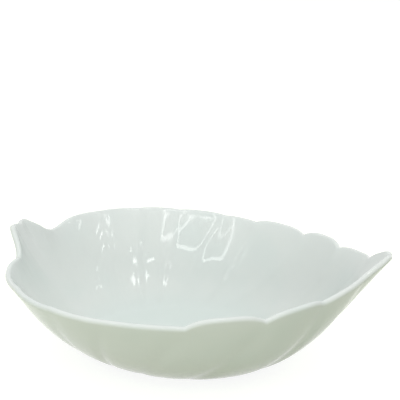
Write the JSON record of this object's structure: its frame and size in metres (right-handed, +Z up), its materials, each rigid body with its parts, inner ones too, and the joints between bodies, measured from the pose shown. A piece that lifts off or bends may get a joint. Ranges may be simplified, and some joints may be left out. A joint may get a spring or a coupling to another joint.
{
  "type": "leaf shaped bowl",
  "caption": "Deep leaf-shaped serving bowl in glossy white ceramic, with a scalloped rim, a pointed tip, a blunt stem end and a bare standing ring.",
  "frame": {"origin": "on the table, under the middle of the bowl's overall box", "axes": "+X from the stem end to the tip, +Y to the far side, +Z up"},
  "size_m": [0.2453, 0.1901, 0.0761],
  "materials": {
    "white_glaze": "glossy white glaze with a faint green-blue cast",
    "bare_clay": "fine matt unglazed clay"
  },
  "bodies": {
    "root": {"leaf_bowl": "white_glaze", "foot_ring": "bare_clay"}
  },
  "joints": []
}
